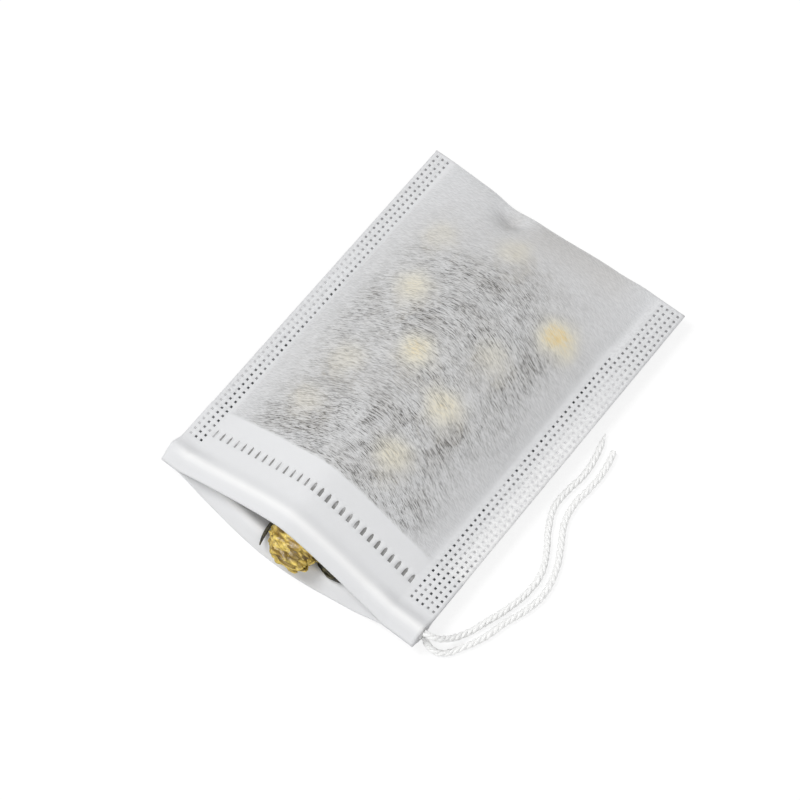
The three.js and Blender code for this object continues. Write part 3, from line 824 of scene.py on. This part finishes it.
class TEABAG_OT_string(bpy.types.Operator):
    """Make the drawstring's two free tails and finish its run in the hems"""

    bl_idname = "teabag.string"
    bl_label = "Drawstring"

    def execute(self, context):
        settings = context.scene.tea_bag
        cotton = cotton_finish(settings.colours)
        diameter = settings.sizes.cord
        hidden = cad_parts["drawstring"]
        hidden.data.materials.clear()
        hidden.data.materials.append(cotton)
        tails = [("front", FRONT_TAIL, THIN_TIP), ("back", BACK_TAIL, 0.0)]
        for side, points, taper in tails:
            line = centreline(points)
            mesh = twisted_yarn(f"string_{side}_tail", line, diameter, taper)
            while taper and (line[-1] - Vector(points[-1])).length < 0.6 * taper:
                line.pop()
            tail = finish_piece(f"string_{side}_tail", mesh, [cotton], [f"drawstring_{side}_tail"])
        return {"FINISHED"}


# Filling

PETAL_THICKNESS = 0.00008
LEAF_THICKNESS = 0.0001
LEAF_HALF_WIDTH = 0.6 * MM
LEAF_HALF_HEIGHT = 0.5 * MM
MOUTH_BUD_AXIS = (1.0, -0.10, 0.05)


def add_petal(bm, layers, shape, petal):
    """One petal of a furled bud: a small grid laid lengthwise on the bud's globe and crumpled"""
    columns, rows = shape["grid"]
    made = bmesh.ops.create_grid(bm, x_segments=columns, y_segments=rows, size=0.5)["verts"]
    seed = petal["seed"]
    for vert in made:
        u, w = vert.co.x * 2, vert.co.y + 0.5
        level = lerp(petal["base"], petal["tip"], w)
        slim = math.sin(math.pi * (0.10 + 0.76 * w)) ** 0.7
        turn = petal["around"] + u * petal["width"] * slim / max(0.3, math.sin(level))
        ridge = 1 - abs(noise.noise(Vector((u * 1.7 + seed, w * 1.3, seed * 0.7))))
        small_ridge = 1 - abs(noise.noise(Vector((u * 3.8 - seed, w * 3.2 + u, seed * 1.3))))
        fine_ridge = 1 - abs(noise.noise(Vector((u * 8.0 + seed, w * 5.5 - 2 * u, seed * 2.1))))
        crumple = 0.24 * ridge**3 + 0.13 * small_ridge**3 + 0.05 * fine_ridge**3 - 0.25
        curl = shape["tip_reach"] * smoothstep(w, 0.55, 1.0) - 0.06 * u * u
        out = petal["reach"] * (1 + crumple + curl)
        ball = Vector((math.sin(level) * math.cos(turn), math.sin(level) * math.sin(turn), math.cos(level)))
        # Painted shade in the valleys of the crumple and towards the petal's base
        painted_crease_shade = 0.6 * (1 - smoothstep(ridge, 0.45, 0.75)) + 0.6 * (1 - smoothstep(small_ridge, 0.5, 0.85))
        painted_crease_shade += 0.4 * (1 - smoothstep(fine_ridge, 0.45, 0.8))
        vert[layers["depth"]] = min(1.0, painted_crease_shade + 0.3 * (1 - w) ** 2)
        # Paler towards the tip, with a painted highlight on the ridges of the crumple
        vert[layers["tip"]] = min(1.0, 0.35 * w + 0.8 * smoothstep(ridge * small_ridge, 0.45, 0.9))
        vert.co = shape["matrix"] @ (ball * out)


def bud_mesh(name, centre, half, axis, rows, grid, tip_reach, seed):
    """A dried bud: a core coloured brown with the folds' painted shade, wrapped in rows of furled petals that
    run to the tip of its axis
    """
    bm = bmesh.new()
    layers = {
        "depth": bm.verts.layers.float.new("petal_painted_shade"),
        "tip": bm.verts.layers.float.new("pale_tip_and_highlight"),
    }
    turned = Vector((0.0, 0.0, 1.0)).rotation_difference(axis).to_matrix().to_4x4()
    matrix = Matrix.Translation(centre) @ Matrix.Diagonal((*half, 1.0)) @ turned
    core = bmesh.ops.create_icosphere(bm, subdivisions=3, radius=0.80, matrix=matrix)["verts"]
    # The core takes the full painted shade
    for vert in core:
        vert[layers["depth"]] = 1.0
    for row, (count, base, tip, width, reach) in enumerate(rows):
        for i in range(count):
            jitter = noise.noise(Vector((seed * 3.1, row * 7.3, i * 1.9)))
            petal = {
                "around": 2 * math.pi * (i + 0.5 * row + 0.4 * jitter) / count + seed,
                "base": base,
                "tip": tip + 0.3 * jitter,
                "width": width * (1 + 0.3 * jitter),
                "reach": reach * (1 + 0.04 * jitter),
                "seed": seed * 11.0 + row * 5.0 + i,
            }
            add_petal(bm, layers, {"grid": grid, "matrix": matrix, "tip_reach": tip_reach}, petal)
    bmesh.ops.recalc_face_normals(bm, faces=bm.faces)
    return mesh_from(bm, name)


# Rows of petals from the core outwards: count, levels of base and tip, half width and reach
PETAL_ROWS = [
    (4, 2.3, 0.10, 0.80, 0.86),
    (4, 2.7, 0.40, 0.78, 0.93),
    (4, 2.9, 0.85, 0.74, 0.99),
]


class TEABAG_OT_buds(bpy.types.Operator):
    """Make the dried flower buds, each in its solid's place"""

    bl_idname = "teabag.buds"
    bl_label = "Flower buds"

    def execute(self, context):
        finish = petal_finish(context.scene.tea_bag.colours)
        for index, node in enumerate(BUD_NODES):
            low, high = (Vector(corner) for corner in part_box(node))
            centre, half = (low + high) / 2, (high - low) / 2
            name = node.replace("flower_bud", "dried_bud")
            at_mouth = node == BUD_NODES[0]
            lean = MOUTH_BUD_AXIS if at_mouth else (math.cos(index), math.sin(index), 1.0)
            axis = Vector(lean).normalized()
            grid, tip_reach = ((22, 28), 0.26) if at_mouth else ((4, 8), 0.07)
            mesh = bud_mesh(name, centre, half, axis, PETAL_ROWS, grid, tip_reach, 1.0 + index)
            bud = finish_piece(name, mesh, [finish], [node])
            wall = bud.modifiers.new("petal_thickness", "SOLIDIFY")
            wall.thickness = PETAL_THICKNESS
            wall.offset = -1.0
        return {"FINISHED"}


def leaf_axis(node):
    """Middle of the two ends, direction, half length and bow of a leaf's solid"""
    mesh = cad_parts[node].data
    points = np.array([tuple(vert.co) for vert in mesh.vertices])
    middle = points.mean(axis=0)
    along = np.linalg.svd(points - middle, full_matrices=False)[2][0]
    reach = (points - middle) @ along
    half = float(reach.max() - reach.min()) / 2
    centre = middle + along * (reach.max() + reach.min()) / 2
    share = np.abs((points - centre) @ along) / half
    bow = points[share < 0.3].mean(axis=0) - points[share > 0.8].mean(axis=0)
    ends = points[share > 0.8].mean(axis=0)
    return Vector(ends), Vector(along), half, Vector(bow - along * float(bow @ along))


# Girth of the leaves that are rolled tighter or looser than the rest; tea_leaf_17 is rolled thick so that its
# dark leaf also stands for the shade in the gap between the lips
LEAF_GIRTHS = {"tea_leaf_12": 0.62, "tea_leaf_17": 1.5}


def leaf_mesh(name, node, seed):
    """A leaf rolled up lengthwise: a grid wound to a loose scroll that tapers to both ends"""
    centre, along, half, bow = leaf_axis(node)
    girth = LEAF_GIRTHS.get(node, 1.0)
    side = along.cross(Vector((0.0, 0.0, 1.0))).normalized()
    over = side.cross(along).normalized()
    bm = bmesh.new()
    bmesh.ops.create_grid(bm, x_segments=12, y_segments=24, size=0.5)
    for vert in bm.verts:
        u, w = vert.co.x + 0.5, vert.co.y * 2
        full = max(0.06, 1 - abs(w) ** 2.2) ** 0.6
        turn = 2 * math.pi * 1.35 * u + 0.9 * w + seed
        crumple = noise.noise(Vector((u * 2.0 + seed, w * 4.0, seed))) * 0.16
        winding = (0.55 + 0.40 * u + crumple) * full * girth
        place = along * (w * half) + bow * (1 - w * w)
        sideways = side * (LEAF_HALF_WIDTH * winding * math.cos(turn))
        place += sideways + over * (LEAF_HALF_HEIGHT * winding * math.sin(turn))
        vert.co = centre + place
    bmesh.ops.recalc_face_normals(bm, faces=bm.faces)
    return mesh_from(bm, name)


class TEABAG_OT_leaves(bpy.types.Operator):
    """Make the dark rolled leaves, each in its solid's place"""

    bl_idname = "teabag.leaves"
    bl_label = "Tea leaves"

    def execute(self, context):
        finish = leaf_finish(context.scene.tea_bag.colours)
        for index, node in enumerate(LEAF_NODES):
            name = node.replace("tea_leaf", "rolled_leaf")
            leaf = finish_piece(name, leaf_mesh(name, node, 1.0 + index), [finish], [node])
            wall = leaf.modifiers.new("leaf_thickness", "SOLIDIFY")
            wall.thickness = LEAF_THICKNESS
            wall.offset = 0.0
        return {"FINISHED"}


# Cloth


def cloth_lines(form):
    """Lines of the sheet across the bag, and along it as (part, inset) from raw edge to raw edge"""
    s = form.s
    half_dot = s.dot_width / 2
    left, right = form.dot_rows()
    xs = [form.left, form.inner_left, form.inner_right, form.right]
    xs += [x + side for x in left + right for side in (-half_dot, half_dot)]
    xs += [x + side * form.slot_half(x) for x in form.slot_centres() for side in (-1, 1)]
    xs = sorted(set(round(x, 7) for x in xs))
    dots = [inset + side for inset in form.dot_lines() for side in (-half_dot, half_dot)]
    hem = [n * MM for n in (5.4, 4.9, 4.4, 3.9, 3.4, 2.95, 2.5, 2.05, 1.6, 1.1, 0.6, 0.2, 0.0)]
    front = sorted({s.length, s.length - 0.0002, *dots, *hem})
    flap = sorted({s.flap, 0.0112, 0.0098, s.slot_inset, 0.0072, 0.0062, *hem})
    back = sorted({*flap, *(s.length * share for share in np.linspace(0.2, 0.985, 48)), s.length})
    along = [("front_flap", inset) for inset in reversed(flap)]
    along += [("front", inset) for inset in front]
    along += [("back", inset) for inset in reversed(back)]
    along += [("back_flap", inset) for inset in flap]
    return xs, along


# Radius of the tint over a bud that hardly shows and over one that shows fully
SPOT_RADII = (2.6 * MM, 3.1 * MM)
LEAF_REACH = 3.0 * MM
WELD_DEPTH = 0.00009
WELD_RIM = 0.00004
# The row next to the filling in the wide seal starts this many dots from the fold
SHORT_ROW_START = 11.5
# How strongly each bud shows through the cloth above it, in the order of the buds' numbers
BUD_SHOWS = (0.50, 0.66, 0.58, 0.50, 0.86, 0.28, 0.24, 0.28, 0.24, 0.18)


def flat_distance(a, b):
    return math.hypot(a.x - b.x, a.y - b.y)


class TeaUnder:
    """What lies under a place of the front: how much petal shows there and how much dark leaf"""

    def __init__(self):
        self.buds = []
        for node, shows in zip(BUD_NODES[1:], BUD_SHOWS):
            low, high = (Vector(corner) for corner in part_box(node))
            self.buds.append(((low + high) / 2, shows))
        self.leaves = []
        for node in LEAF_NODES:
            centre, along, half, _ = leaf_axis(node)
            self.leaves += [centre + along * (half * share / 4) for share in range(-4, 5)]

    def petals(self, point):
        shares = []
        for bud, shows in self.buds:
            away = flat_distance(point, bud) / lerp(*SPOT_RADII, shows)
            ragged = 1 + 0.22 * noise.noise(Vector((point.x * 420, point.y * 420, shows)))
            shares.append(shows * math.exp(-((away * ragged) ** 3)))
        return max(shares)

    def leaf(self, point):
        nearest = min(flat_distance(point, spot) for spot in self.leaves)
        return math.exp(-((nearest / LEAF_REACH) ** 2))


class TEABAG_OT_cloth(bpy.types.Operator):
    """Fold the sheet of cloth into the bag, with its welds"""

    bl_idname = "teabag.cloth"
    bl_label = "Filter bag"

    def execute(self, context):
        settings = context.scene.tea_bag
        form = SheetForm(settings.sizes)
        xs, along = cloth_lines(form)
        bm = bmesh.new()
        bmesh.ops.create_grid(bm, x_segments=len(xs) - 1, y_segments=len(along) - 1, size=0.5)
        petals = bm.verts.layers.float.new("near_petals")
        tea_and_fold_shade = bm.verts.layers.float.new("tea_and_fold_shade")
        leafy = bm.verts.layers.float.new("leafy")
        doubled = bm.verts.layers.float.new("doubled")
        fold_shade = bm.verts.layers.float.new("fold_shade")
        painted_light_share = bm.verts.layers.float.new("painted_light_share")
        sealed = bm.verts.layers.float.new("sealed")
        weld_fade = bm.verts.layers.float.new("weld_fade")
        tea = TeaUnder()
        spot = {}
        for vert in bm.verts:
            column = round((vert.co.x + 0.5) * (len(xs) - 1))
            row = round((vert.co.y + 0.5) * (len(along) - 1))
            spot[vert] = (column, row)
        for vert, (column, row) in spot.items():
            part, inset = along[row]
            v = 1 - inset / settings.sizes.length
            vert.co = form.place(part, form.slot_taper(part, xs[column], inset), inset)
            vert[doubled] = form.doubled(part, xs[column], v)
            vert[painted_light_share] = form.painted_light_share(xs[column], v)
            vert[sealed] = form.sealed(xs[column], v)
            vert[weld_fade] = form.weld_fade(xs[column], v)
            if part == "front":
                near_leaf = 0.55 + 0.45 * tea.leaf(vert.co)
                vert[petals] = tea.petals(vert.co) * (1 - vert[doubled])
                vert[tea_and_fold_shade] = form.filled(xs[column], v) * near_leaf
                vert[leafy] = form.leafy(xs[column], v) * near_leaf
                vert[fold_shade] = form.fold_shade(xs[column], v)
        self.press_welds(bm, form, xs, along, spot)
        bmesh.ops.recalc_face_normals(bm, faces=bm.faces)
        mesh = mesh_from(bm, "bag_cloth")
        colours = settings.colours
        finishes = [
            cloth_finish(colours, form),
            # The dots' colour is the painted shade of their pits
            weld_finish("pressed_dot", colours.weld, colours.fibre),
            weld_finish("pressed_slot", colours.slot, colours.fibre),
        ]
        bag = finish_piece("bag_cloth", mesh, finishes, ["filter_bag"])
        wall = bag.modifiers.new("cloth_thickness", "SOLIDIFY")
        wall.thickness = settings.sizes.cloth
        wall.offset = 0.0
        return {"FINISHED"}

    def press_welds(self, bm, form, xs, along, spot):
        """Insets the faces of the weld dots and slots of the front and presses them in"""
        s = form.s
        left, right = form.dot_rows()
        rows = left + right
        short = min(right)
        lines = form.dot_lines()
        slots = form.slot_centres()
        near, half_slot = s.dot_width / 4, s.slot_length / 2
        dots, bars = [], []
        for face in bm.faces:
            columns = [spot[vert][0] for vert in face.verts]
            levels = [spot[vert][1] for vert in face.verts]
            parts = {along[level][0] for level in levels}
            if parts != {"front"}:
                continue
            x = (xs[min(columns)] + xs[max(columns)]) / 2
            inset = (along[min(levels)][1] + along[max(levels)][1]) / 2
            if any(abs(x - row) < near for row in rows) and any(abs(inset - line) < near for line in lines):
                if abs(x - short) > near or inset < s.length - s.row_inset - SHORT_ROW_START * s.dot_pitch:
                    dots.append(face)
            elif any(abs(x - slot) < near for slot in slots) and abs(inset - s.slot_inset) < half_slot:
                bars.append(face)
        bmesh.ops.recalc_face_normals(bm, faces=bm.faces)
        depth = -WELD_DEPTH if dots[0].normal.z > 0 else WELD_DEPTH
        bmesh.ops.inset_individual(bm, faces=dots, thickness=WELD_RIM, depth=depth, use_even_offset=True)
        bmesh.ops.inset_region(bm, faces=bars, thickness=WELD_RIM, depth=depth, use_even_offset=True)
        for face in dots:
            face.material_index = 1
        for face in bars:
            face.material_index = 2


# Panel and start


class TEABAG_PT_panel(bpy.types.Panel):
    """Build the tea bag piece by piece"""

    bl_idname = "TEABAG_PT_panel"
    bl_label = "Tea Filter Bag"
    bl_space_type = "VIEW_3D"
    bl_region_type = "UI"
    bl_category = "Tea Bag"

    def draw(self, context):
        settings = context.scene.tea_bag
        for operator in STEPS:
            self.layout.operator(operator.bl_idname)
        for group in (settings.sizes, settings.colours):
            column = self.layout.column()
            for name in group.__annotations__:
                column.prop(group, name)


STEPS = (TEABAG_OT_stage, TEABAG_OT_string, TEABAG_OT_buds, TEABAG_OT_leaves, TEABAG_OT_cloth)
CLASSES = (TeaBagSizes, TeaBagColours, TeaBagSettings, *STEPS, TEABAG_PT_panel)


def register():
    for cls in CLASSES:
        bpy.utils.register_class(cls)
    bpy.types.Scene.tea_bag = PointerProperty(type=TeaBagSettings)


def unregister():
    del bpy.types.Scene.tea_bag
    for cls in reversed(CLASSES):
        bpy.utils.unregister_class(cls)


def main():
    register()
    bpy.ops.teabag.stage()
    bpy.ops.teabag.string()
    bpy.ops.teabag.buds()
    bpy.ops.teabag.leaves()
    bpy.ops.teabag.cloth()


if __name__ == "__main__":
    main()
